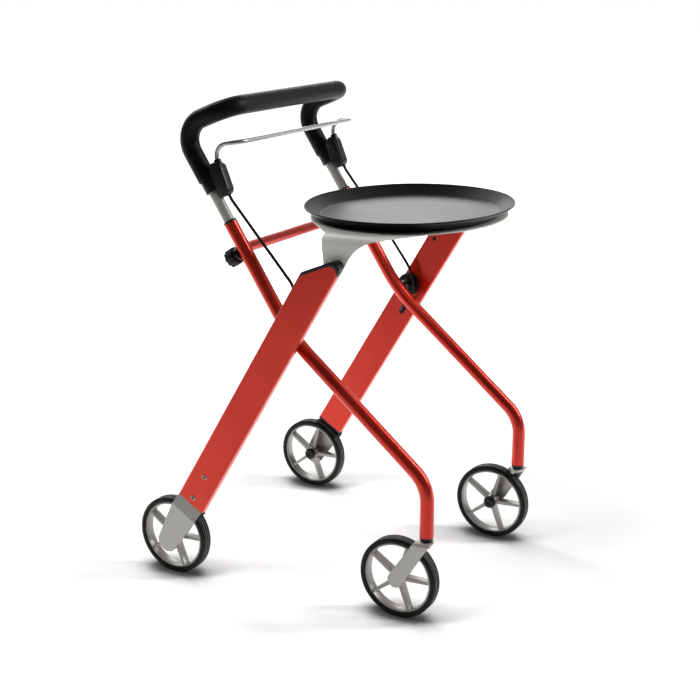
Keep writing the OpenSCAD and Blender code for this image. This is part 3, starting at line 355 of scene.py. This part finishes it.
foam = drawTube(
    "foamGrip", [handlePlan["foamLow"]] + grip + [mirrorPoint(handlePlan["foamLow"])], handlePlan["bends"],
    handlePlan["foamRadius"], handlePlan["foamSides"], handlePlan["foamSteps"],
    handlePlan["foamRadius"] - handlePlan["radius"] - handlePlan["foamFit"])
lip = foam.modifiers.new("lip", "BEVEL")
lip.limit_method = "ANGLE"
lip.angle_limit = handlePlan["lipAngle"]
lip.width = handlePlan["lip"]
lip.segments = handlePlan["lipSegments"]
applyModifier(foam, lip)
smoothBelow(50)
takeFinish(foam, gripFoam, "handle", "grip_foam", "foam_grip")

# brake bar: one bent rod from pod to pod
barPlan = {"radius": 4 * mm, "bend": 24 * mm, "sides": 28, "bendSteps": 14, "low": (-0.13580, 0.2, 0.74734),
           "rear": (-0.16240, 0.2, 0.81317), "front": (-0.10496, 0.2, 0.82124)}
barHalf = [barPlan["low"], barPlan["rear"], barPlan["front"]]
barCorners = barHalf + [mirrorPoint(p) for p in reversed(barHalf)]
brakeBar = drawTube("brakeBar", barCorners, [barPlan["bend"]] * (len(barCorners) - 2), barPlan["radius"],
                    barPlan["sides"], barPlan["bendSteps"])
takeFinish(brakeBar, polishedSteel, "brake_bar", "steel", "brake_bar")
print("tubes, grip and brake bar made")

# tray: four arcs make the oval of the floor, its edge is drawn outwards, over the rim and back underneath
trayPlan = {
    "centre": (0.12746, 0, 0), "halfLength": 184 * mm, "halfWidth": 210.5 * mm,
    "sideCentre": 53 * mm, "sideRadius": 237 * mm, "endCentre": 39.75 * mm,
    "sideSteps": 30, "endSteps": 42, "meetShares": (0.8, 0.6),  # the arcs meet on lines rising three in four
    # inset from the edge and height above the floor, in mm
    "rings": [(60, 689), (31.5, 689), (29.6, 689.15), (28.1, 689.7), (27, 690.5), (5.2, 703.9), (4.1, 704.9),
              (3.3, 706.1), (2.3, 706.9), (1.3, 706.85), (0.45, 706.2), (0, 705.2), (0.3, 704.3),
              (1.4, 703.5), (24.6, 687.9), (25.8, 687), (27.6, 686.55), (29.6, 686.5),
              (60, 686.5)]}
inset, level = trayPlan["rings"][0]
meetAhead, meetAside = trayPlan["meetShares"]
sideTurn = 2 * math.atan2(meetAside, meetAhead)
reach = trayPlan["sideRadius"] - inset * mm
deselectAll()
bpy.ops.mesh.primitive_plane_add(size=mm, location=(
    trayPlan["centre"][0] - trayPlan["sideCentre"] + reach * meetAhead, -reach * meetAside, level * mm))
tray = bpy.context.object
tray.name = "tray"
bpy.ops.object.transform_apply(location=True, rotation=True, scale=True)
bpy.ops.object.mode_set(mode="EDIT")
bpy.ops.mesh.select_mode(type="VERT")
bpy.ops.mesh.select_all(action="SELECT")
bpy.ops.mesh.merge(type="CENTER")
for sign in (1, -1):
    arcs = [(-sign * trayPlan["sideCentre"], 0, sideTurn, trayPlan["sideSteps"]),
            (0, sign * trayPlan["endCentre"], math.pi - sideTurn, trayPlan["endSteps"])]
    for alongX, alongY, turn, steps in arcs:
        bpy.ops.mesh.spin(steps=steps, angle=-turn, axis=(0, 0, 1),
                          center=(trayPlan["centre"][0] + alongX, alongY, level * mm))
bpy.ops.mesh.select_all(action="SELECT")
bpy.ops.mesh.remove_doubles(threshold=mergeGap)
bpy.ops.mesh.edge_face_add()
bpy.ops.mesh.select_mode(type="EDGE")
bpy.ops.mesh.select_all(action="DESELECT")
bpy.ops.mesh.select_non_manifold()
for (inset, level), (newInset, newLevel) in zip(trayPlan["rings"], trayPlan["rings"][1:]):
    grow = [(half - newInset * mm) / (half - inset * mm)
            for half in (trayPlan["halfLength"], trayPlan["halfWidth"])]
    bpy.ops.mesh.extrude_edges_move(TRANSFORM_OT_translate={"value": (0, 0, (newLevel - level) * mm)})
    bpy.ops.transform.resize(value=(grow[0], grow[1], 1), center_override=trayPlan["centre"])
bpy.ops.mesh.edge_face_add()
bpy.ops.mesh.select_all(action="SELECT")
bpy.ops.mesh.normals_make_consistent(inside=False)
bpy.ops.object.mode_set(mode="OBJECT")
smoothBelow(50)
takeFinish(tray, trayAbs, "tray", "tray_plastic", "tray")
print("tray made")


def lathe(name, outline, steps):  # closed outline of (radius, along y) points in mm, turned round the y axis
    deselectAll()
    bpy.ops.mesh.primitive_plane_add(size=mm, location=(outline[0][0] * mm, outline[0][1] * mm, 0))
    turned = bpy.context.object
    turned.name = name
    bpy.ops.object.transform_apply(location=True, rotation=True, scale=True)
    bpy.ops.object.mode_set(mode="EDIT")
    bpy.ops.mesh.select_mode(type="VERT")
    bpy.ops.mesh.select_all(action="SELECT")
    bpy.ops.mesh.merge(type="CENTER")
    for (radius, along), (newRadius, newAlong) in zip(outline, outline[1:]):
        bpy.ops.mesh.extrude_region_move(
            TRANSFORM_OT_translate={"value": ((newRadius - radius) * mm, (newAlong - along) * mm, 0)})
    bpy.ops.mesh.select_all(action="SELECT")
    bpy.ops.mesh.remove_doubles(threshold=mergeGap)
    bpy.ops.mesh.spin(steps=steps, angle=2 * math.pi, center=(0, 0, 0), axis=(0, 1, 0))
    bpy.ops.mesh.select_all(action="SELECT")
    bpy.ops.mesh.remove_doubles(threshold=mergeGap)
    bpy.ops.mesh.normals_make_consistent(inside=False)
    bpy.ops.object.mode_set(mode="OBJECT")
    smoothBelow(38)
    return turned


def copyTo(piece, name, place, turn=0):
    deselectAll()
    made = bpy.data.objects.new(name, piece.data.copy())
    bpy.context.scene.collection.objects.link(made)
    made.select_set(True)
    bpy.context.view_layer.objects.active = made
    made.location = place
    made.rotation_euler = (0, 0, turn)
    bpy.ops.object.transform_apply(location=True, rotation=True, scale=True)
    return made


# tyres: soft shoulders, three tread grooves, a raised line on the side, sizes in mm
tyrePlan = {"outer": 75, "seat": 65.5, "half": 12, "seatShare": 0.9, "round": 4.5, "roundSteps": 8,
            "steps": 96, "groove": 2.6, "grooveHalf": 1.4, "grooveFloorShare": 0.7, "pitch": 5.7,
            "ridgeHighlightDepth": 0.1,
            "sideLine": [(66.6, 11.35), (67.3, 11.6), (67.9, 11.55), (68.3, 11.9)]}
wheelPlaces = {}
for name in ("rear_left", "rear_right", "front_left", "front_right"):
    low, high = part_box("tyre_" + name)
    wheelPlaces[name] = [(a + b) / 2 for a, b in zip(low, high)]
outer, pitch, grooveHalf = tyrePlan["outer"], tyrePlan["pitch"], tyrePlan["grooveHalf"]
grooveFloor = outer - tyrePlan["groove"]
floorHalf = grooveHalf * tyrePlan["grooveFloorShare"]
half = [(tyrePlan["seat"], tyrePlan["half"] * tyrePlan["seatShare"])] + tyrePlan["sideLine"]
for k in range(tyrePlan["roundSteps"] + 1):
    turn = math.pi / 2 * k / tyrePlan["roundSteps"]
    half.append((outer - tyrePlan["round"] + tyrePlan["round"] * math.sin(turn),
                 tyrePlan["half"] - tyrePlan["round"] + tyrePlan["round"] * math.cos(turn)))
half += [(outer, pitch + grooveHalf), (grooveFloor, pitch + floorHalf), (grooveFloor, pitch - floorHalf),
         (outer, pitch - grooveHalf), (outer, grooveHalf), (grooveFloor, floorHalf)]
outline = half + [(radius, -along) for radius, along in reversed(half)]
tyre = lathe("tyre", outline + outline[:1], tyrePlan["steps"])
for name, place in wheelPlaces.items():
    made = copyTo(tyre, "tyreRing_" + name, place)
    takeFinish(made, tyreRubber, "wheel_" + name, "tyre_rubber", "tyre_" + name)
    # the outermost faces of the tread ridges take the lighter rubber: a painted highlight
    made.data.materials.append(ridgeHighlightRubber)
    for face in made.data.polygons:
        offset = face.center - Vector(place)
        if math.hypot(offset.x, offset.z) > (outer - tyrePlan["ridgeHighlightDepth"]) * mm:
            face.material_index = 1
bpy.data.objects.remove(tyre)
print("tyres made")

# hub caps: a stepped disc with a ring groove and a recess over the axle, sizes in mm
hubPlan = {"steps": 40, "outline": [
    (0, 0), (11.4, 0), (12, 0.5), (12, 3.4), (11.5, 4.9), (10.4, 5.8), (9.2, 6.2), (8.6, 6.2), (8.3, 5.2),
    (7.5, 5.2), (7.2, 6.3), (6.6, 6.5), (4.4, 6.5), (3.8, 6.1), (3.5, 4.1), (0, 3.9), (0, 0)]}
hubCap = lathe("hubCap", hubPlan["outline"], hubPlan["steps"])
for name, place in wheelPlaces.items():
    low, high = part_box("hub_cap_" + name)
    outwards = (low[1] + high[1]) / 2 > place[1]
    base = (place[0], low[1] if outwards else high[1], place[2])
    made = copyTo(hubCap, "hubCap_" + name, base, 0 if outwards else math.pi)
    takeFinish(made, blackNylon, "wheel_" + name, "black_plastic", "hub_cap_" + name)
bpy.data.objects.remove(hubCap)
print("hub caps made")


# a copy of a CAD solid with its edges broken, first raised or trimmed where that is asked
def softenNode(nodeName, edgeMm, material, slot, smooth=38, cutter=None, rise=None):
    limits = {"merge": 0.002 * mm, "flat": math.radians(0.5), "sharp": math.radians(40), "facingShare": 0.2}
    roundSegments = 2
    deselectAll()
    source = frame["nodes"][nodeName]
    piece = bpy.data.objects.new("soft_" + nodeName, source.data.copy())
    bpy.context.scene.collection.objects.link(piece)
    piece.select_set(True)
    bpy.context.view_layer.objects.active = piece
    bpy.ops.object.mode_set(mode="EDIT")
    bpy.ops.mesh.select_all(action="SELECT")
    bpy.ops.mesh.customdata_custom_splitnormals_clear()
    bpy.ops.mesh.remove_doubles(threshold=limits["merge"])
    bpy.ops.mesh.dissolve_limited(angle_limit=limits["flat"])
    bpy.ops.mesh.select_all(action="DESELECT")
    bpy.ops.object.mode_set(mode="OBJECT")
    if rise:
        for face in piece.data.polygons:
            if face.normal.dot(rise.normalized()) > limits["facingShare"]:
                for corner in face.vertices:
                    piece.data.vertices[corner].select = True
        bpy.ops.object.mode_set(mode="EDIT")
        bpy.ops.transform.translate(value=rise)
        bpy.ops.object.mode_set(mode="OBJECT")
    if cutter:
        trim = piece.modifiers.new("trim", "BOOLEAN")
        trim.operation = "DIFFERENCE"
        trim.object = cutter
        applyModifier(piece, trim)
    broken = piece.modifiers.new("edges", "BEVEL")
    broken.limit_method = "ANGLE"
    broken.angle_limit = limits["sharp"]
    broken.width = edgeMm * mm
    broken.segments = roundSegments
    applyModifier(piece, broken)
    smoothBelow(smooth)
    return takeFinish(piece, material, source["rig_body"], slot, nodeName)


# rear forks: a gray plate on the leg's outside; the faces of the head inside the leg's end are coloured
# black
forkPlan = {"edge": 1.0, "smooth": 15, "headInside": 262.6 * mm}
for side in ("left", "right"):
    fork = softenNode("rear_fork_" + side, forkPlan["edge"], castGray, "cast_aluminium", forkPlan["smooth"])
    fork.data.materials.append(blackNylon)
    for face in fork.data.polygons:
        face.material_index = 1 if abs(face.center.y) < forkPlan["headInside"] else 0

# other cast, moulded and turned solids keep their form and get broken edges, in mm
softPlan = [(["rim_" + name for name in wheelPlaces], 1.6, rimGray, "cast_aluminium"),
            (["knob_left", "knob_right"], 1.0, blackNylon, "black_plastic"),
            (["brake_pod_left", "brake_pod_right", "pod_covers"], 1.6, blackNylon, "black_plastic"),
            (["pivot_spacers", "tube_bushes", "leg_grommets"], 0.6, blackNylon, "black_plastic"),
            (["stem_sleeves"], 2.4, blackNylon, "black_plastic"),
            (["shoe_left", "shoe_right"], 0.8, tyreRubber, "black_rubber"),
            (["carrier"], 0.6, carrierGray, "carrier_sheet")]
for nodeNames, edge, material, slot in softPlan:
    for nodeName in nodeNames:
        softenNode(nodeName, edge, material, slot)

# end caps of the legs, which stand up along the leg
capPlan = {"edge": 0.9, "rise": (2.6 * mm, 0, 4.3 * mm)}
softenNode("leg_caps", capPlan["edge"], blackNylon, "black_plastic", rise=Vector(capPlan["rise"]))

# caster forks: on its front inner side the crown is cut back at a slope, and so is the post in it
casterPlan = {"stem": (0.27154, 0.2, 0.14875), "edge": 0.8, "postEdge": 0.3,
              "heading": math.radians(30), "slope": math.radians(45),
              "cutForwards": 7 * mm, "cutInwards": 5.5 * mm, "cutSize": (20 * mm, 41 * mm, 22 * mm)}
for side, mirror in (("left", 1), ("right", -1)):
    stem = Vector(casterPlan["stem"] if side == "left" else mirrorPoint(casterPlan["stem"]))
    turn = -casterPlan["heading"] * mirror
    forwards = Vector((math.cos(turn), math.sin(turn), 0))
    inwards = Vector((forwards.y, -forwards.x, 0)) * mirror
    facing = forwards * math.cos(casterPlan["slope"]) - Vector((0, 0, math.sin(casterPlan["slope"])))
    deselectAll()
    bpy.ops.mesh.primitive_cube_add(
        size=1, scale=casterPlan["cutSize"], rotation=(0, casterPlan["slope"], turn),
        location=stem + forwards * casterPlan["cutForwards"] + inwards * casterPlan["cutInwards"]
        + facing * casterPlan["cutSize"][0] / 2)
    cutter = bpy.context.object
    softenNode("caster_fork_" + side, casterPlan["edge"], castGray, "cast_aluminium", cutter=cutter)
    softenNode("caster_post_" + side, casterPlan["postEdge"], castGray, "steel", cutter=cutter)
    bpy.data.objects.remove(cutter)
print("edges broken")

# rivets in the legs: low dome with a deep socket, sizes in mm
rivetPlan = {"radius": 5, "legFace": 263, "steps": 32, "outline": [
    (0, -2.2), (2.3, -2.2), (2.3, 0.9), (2.7, 1.3), (3.5, 1.4), (4.5, 1.0), (5, 0.4), (5, 0), (2.9, 0),
    (2.9, -3), (0, -3), (0, -2.2)]}
low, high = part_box("leg_rivets")
rivet = lathe("rivet", rivetPlan["outline"], rivetPlan["steps"])
rivetRim = rivetPlan["radius"] * mm
rivetPlaces = {"low": (low[0] + rivetRim, low[2] + rivetRim),
               "high": (high[0] - rivetRim, high[2] - rivetRim)}
for side, turn, legFace in (("left", 0, rivetPlan["legFace"]), ("right", math.pi, -rivetPlan["legFace"])):
    for level, (along, up) in rivetPlaces.items():
        made = copyTo(rivet, "rivet_" + side + "_" + level, (along, legFace * mm, up), turn)
        takeFinish(made, zincSteel, "leg_frame", "steel", "leg_rivets")
bpy.data.objects.remove(rivet)
print("rivets made")

# solids whose form is right take their finish as they are
plainPlan = [(["leg_left", "leg_right", "cross_tube"], redPaint),
             (["pod_ferrules", "pod_screws"], blackNylon),
             (["bearings_" + name for name in wheelPlaces], zincSteel),
             (["pivot_bolts", "carrier_bolts", "knob_stud_left", "knob_stud_right"], zincSteel),
             (["rear_axle_left", "rear_axle_right", "front_axle_left", "front_axle_right"], zincSteel)]
for nodeNames, material in plainPlan:
    for nodeName in nodeNames:
        solid = frame["nodes"][nodeName]
        solid.data.materials.clear()
        solid.data.materials.append(material)
print("finishes given")

# white studio: the camera sees floor and backdrop white, mirrors see them fade towards the camera's side
stagePlan = {
    "floorSize": 40, "floorColour": "#F4F4F4",
    "floorGlow": (0.14, 1.0), "fadeOut": (0.42, 1.5),  # glow by the walker and away from it, and how far
    "floorMirror": (0.0, 1.0), "mirrorReach": 0.8,  # what mirrors see of the floor in front and behind
    "contactReach": 0.08, "contactShade": 0.1, "contactRange": (0.62, 0.97), "contactSamples": 16,
    "backWay": (-0.5, 0.866, 0.15), "roomLight": 0.1, "mirrorLight": (0.08, 0.9), "mirrorRange": (0.2, 0.95),
    "softBoxes": [
        {"name": "rightStrip", "place": (2.4, 1.4, 2.1), "aim": (0, 0, 0.4), "size": (0.5, 2.0),
         "watts": 75, "mirrored": True},
        {"name": "leftStrip", "place": (-2.3, 0.9, 2.1), "aim": (0, 0, 0.4), "size": (0.6, 2.2),
         "watts": 30, "mirrored": True},
        {"name": "backBox", "place": (-1.7, 3.2, 1.8), "aim": (-0.9, 1.8, 0), "size": (1.2, 1.2),
         "watts": 22, "mirrored": True},
        {"name": "frontBox", "place": (-1.2, -1.75, 3.4), "aim": (0, 0, 0.4), "size": (1.4, 1.4),
         "watts": 92, "mirrored": False}]}
deselectAll()
bpy.ops.mesh.primitive_plane_add(size=stagePlan["floorSize"], location=(0, 0, 0))
floor = bpy.context.object
floor.name = "floor"
floorPaint = bpy.data.materials.new("studioFloor")
floorPaint.use_nodes = True
tree = floorPaint.node_tree
tree.nodes.clear()
path = addNode(tree, "ShaderNodeLightPath")
place = addNode(tree, "ShaderNodeTexCoord")
away = addNode(tree, "ShaderNodeVectorMath", {0: place.outputs["Object"]}, operation="LENGTH")
fade = addNode(tree, "ShaderNodeMapRange", {
    "Value": away.outputs["Value"], "From Min": stagePlan["fadeOut"][0], "From Max": stagePlan["fadeOut"][1],
    "To Min": stagePlan["floorGlow"][0], "To Max": stagePlan["floorGlow"][1]},
    interpolation_type="SMOOTHSTEP")
# painted contact shade: where the wheels stand close to it, ambient occlusion darkens the floor's colour and
# glow
nearby = addNode(tree, "ShaderNodeAmbientOcclusion", {"Distance": stagePlan["contactReach"]},
                 samples=stagePlan["contactSamples"])
contact = addNode(tree, "ShaderNodeMapRange", {
    "Value": nearby.outputs["AO"], "From Min": stagePlan["contactRange"][0],
    "From Max": stagePlan["contactRange"][1], "To Min": stagePlan["contactShade"], "To Max": 1.0},
    interpolation_type="SMOOTHSTEP")
shade = addNode(tree, "ShaderNodeMath", {
    0: contact.outputs["Result"], 1: linear(stagePlan["floorColour"])[0]}, operation="MULTIPLY")
paint = addNode(tree, "ShaderNodeBsdfDiffuse", {"Color": shade.outputs["Value"]})
behind = addNode(tree, "ShaderNodeVectorMath", {
    0: place.outputs["Object"], 1: stagePlan["backWay"]}, operation="DOT_PRODUCT")
mirrored = addNode(tree, "ShaderNodeMapRange", {
    "Value": behind.outputs["Value"], "From Min": -stagePlan["mirrorReach"],
    "From Max": stagePlan["mirrorReach"], "To Min": stagePlan["floorMirror"][0],
    "To Max": stagePlan["floorMirror"][1]}, interpolation_type="SMOOTHSTEP")
strength = addNode(tree, "ShaderNodeMapRange", {
    "Value": path.outputs["Is Glossy Ray"], "To Min": fade.outputs["Result"],
    "To Max": mirrored.outputs["Result"]})
# the painted contact shade dims the floor's glow as well
shaded = addNode(tree, "ShaderNodeMath", {
    0: contact.outputs["Result"], 1: strength.outputs["Result"]}, operation="MULTIPLY")
glow = addNode(tree, "ShaderNodeEmission", {"Color": (1, 1, 1, 1), "Strength": shaded.outputs["Value"]})
lit = addNode(tree, "ShaderNodeAddShader", {0: paint.outputs["BSDF"], 1: glow.outputs["Emission"]})
seen = addNode(tree, "ShaderNodeMath", {
    0: path.outputs["Is Camera Ray"], 1: path.outputs["Is Transmission Ray"]}, operation="MAXIMUM")
shown = addNode(tree, "ShaderNodeMath", {
    0: seen.outputs["Value"], 1: path.outputs["Is Glossy Ray"]}, operation="MAXIMUM")
mixed = addNode(tree, "ShaderNodeMixShader", {
    "Fac": shown.outputs["Value"], 1: paint.outputs["BSDF"], 2: lit.outputs["Shader"]})
addNode(tree, "ShaderNodeOutputMaterial", {"Surface": mixed.outputs["Shader"]})
floor.data.materials.append(floorPaint)

world = bpy.data.worlds.new("studioWorld")
bpy.context.scene.world = world
world.use_nodes = True
tree = world.node_tree
tree.nodes.clear()
path = addNode(tree, "ShaderNodeLightPath")
place = addNode(tree, "ShaderNodeTexCoord")
behind = addNode(tree, "ShaderNodeVectorMath", {
    0: place.outputs["Generated"], 1: stagePlan["backWay"]}, operation="DOT_PRODUCT")
mirrored = addNode(tree, "ShaderNodeMapRange", {
    "Value": behind.outputs["Value"], "From Min": stagePlan["mirrorRange"][0],
    "From Max": stagePlan["mirrorRange"][1], "To Min": stagePlan["mirrorLight"][0],
    "To Max": stagePlan["mirrorLight"][1]}, interpolation_type="SMOOTHSTEP")
room = addNode(tree, "ShaderNodeMapRange", {
    "Value": path.outputs["Is Glossy Ray"], "To Min": stagePlan["roomLight"],
    "To Max": mirrored.outputs["Result"]})
seen = addNode(tree, "ShaderNodeMath", {
    0: path.outputs["Is Camera Ray"], 1: path.outputs["Is Transmission Ray"]}, operation="MAXIMUM")
strength = addNode(tree, "ShaderNodeMapRange", {
    "Value": seen.outputs["Value"], "To Min": room.outputs["Result"], "To Max": 1.0})
sky = addNode(tree, "ShaderNodeBackground", {"Color": (1, 1, 1, 1), "Strength": strength.outputs["Result"]})
addNode(tree, "ShaderNodeOutputWorld", {"Surface": sky.outputs["Background"]})

for plan in stagePlan["softBoxes"]:
    deselectAll()
    bpy.ops.object.light_add(type="AREA", location=plan["place"])
    softBox = bpy.context.object
    softBox.name = plan["name"]
    softBox.data.energy = plan["watts"]
    softBox.visible_glossy = plan["mirrored"]
    softBox.data.shape = "RECTANGLE"
    softBox.data.size, softBox.data.size_y = plan["size"]
    beam = Vector(plan["aim"]) - Vector(plan["place"])
    softBox.rotation_euler = beam.to_track_quat("-Z", "Y").to_euler()
bpy.context.scene.view_settings.view_transform = "Standard"
print("stage lit")
